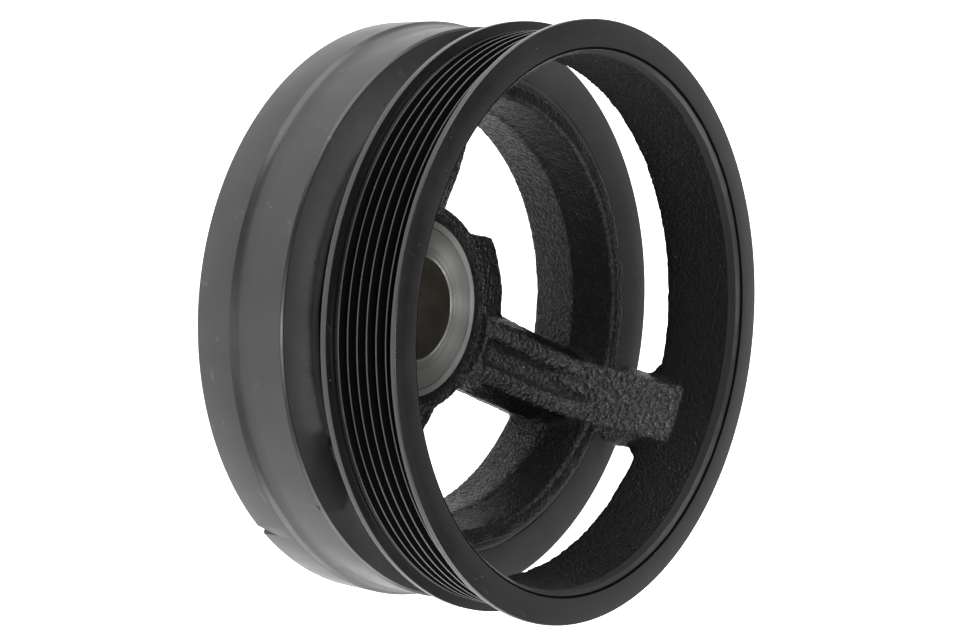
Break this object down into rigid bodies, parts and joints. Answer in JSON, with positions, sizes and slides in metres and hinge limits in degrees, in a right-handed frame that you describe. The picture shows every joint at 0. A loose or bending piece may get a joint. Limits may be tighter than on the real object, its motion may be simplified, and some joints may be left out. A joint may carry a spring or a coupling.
{
  "type": "harmonic balancer",
  "caption": "Crankshaft harmonic balancer with integral ribbed belt pulley ring on deep cast spokes and a bonded inertia ring",
  "frame": {"origin": "Centre of the seal snout's rear end, on the crank axis; the part stands on it.", "axes": "+Z along the crank axis from the engine towards the pulley; +X points midway between two spokes, the spokes standing at 60, 180 and 300 degrees."},
  "size_m": [0.1868, 0.1868, 0.114],
  "materials": {
    "hub_iron": "satin",
    "damper_rubber": "matte",
    "inertia_iron": "satin"
  },
  "bodies": {
    "root": {"hub_casting": "hub_iron", "elastomer_ring": "damper_rubber", "inertia_ring": "inertia_iron"}
  },
  "joints": []
}
